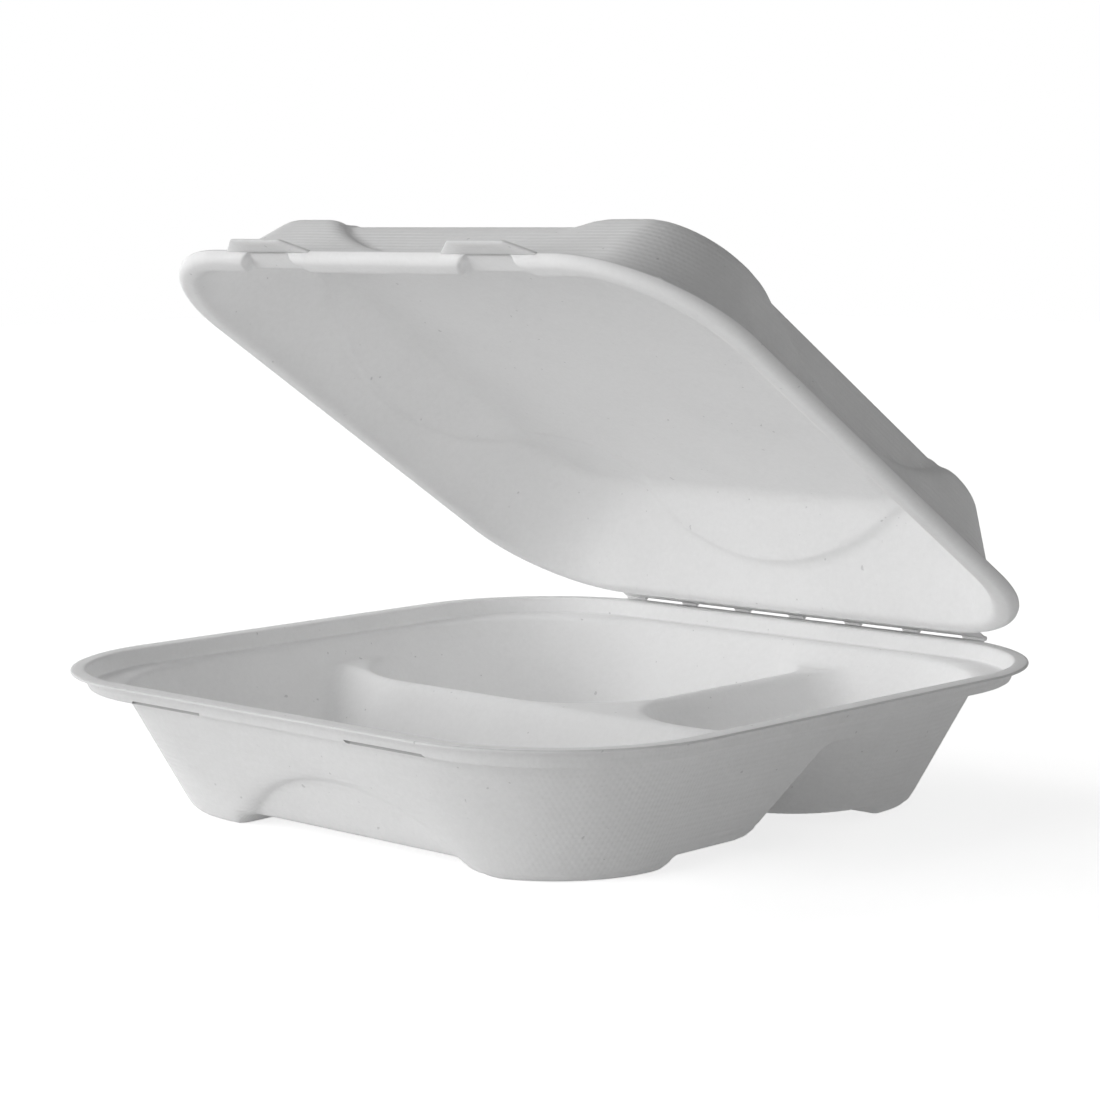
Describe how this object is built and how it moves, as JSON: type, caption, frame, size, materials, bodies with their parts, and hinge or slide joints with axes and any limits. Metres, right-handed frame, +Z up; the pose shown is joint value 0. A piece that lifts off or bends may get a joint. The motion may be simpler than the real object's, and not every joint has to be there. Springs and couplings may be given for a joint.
{
  "type": "clamshell food container",
  "caption": "Hinged clamshell food container of moulded pulp, with a compartment tray, a domed lid, tab-and-slot lock and perforated fold.",
  "frame": {"origin": "on the table plane that the tray's feet stand on, under the middle of the container's outline", "axes": "+Z up, X along the fold, +Y from the tray's front edge with the lock slots to the fold"},
  "size_m": [0.229, 0.2306, 0.1696],
  "materials": {
    "tray_pulp": "matte moulded pulp, mesh-marked outside",
    "lid_pulp": "matte moulded pulp, mesh-marked outside"
  },
  "bodies": {
    "tray": {"tray": "tray_pulp"},
    "lid": {"lid": "lid_pulp"}
  },
  "joints": [
    {"name": "lid_hinge", "type": "hinge", "parent": "tray", "child": "lid", "pos_m": [0, 0.1142, 0.0421], "axis": [-1, 0, 0], "range_deg": [-33, 147]}
  ]
}
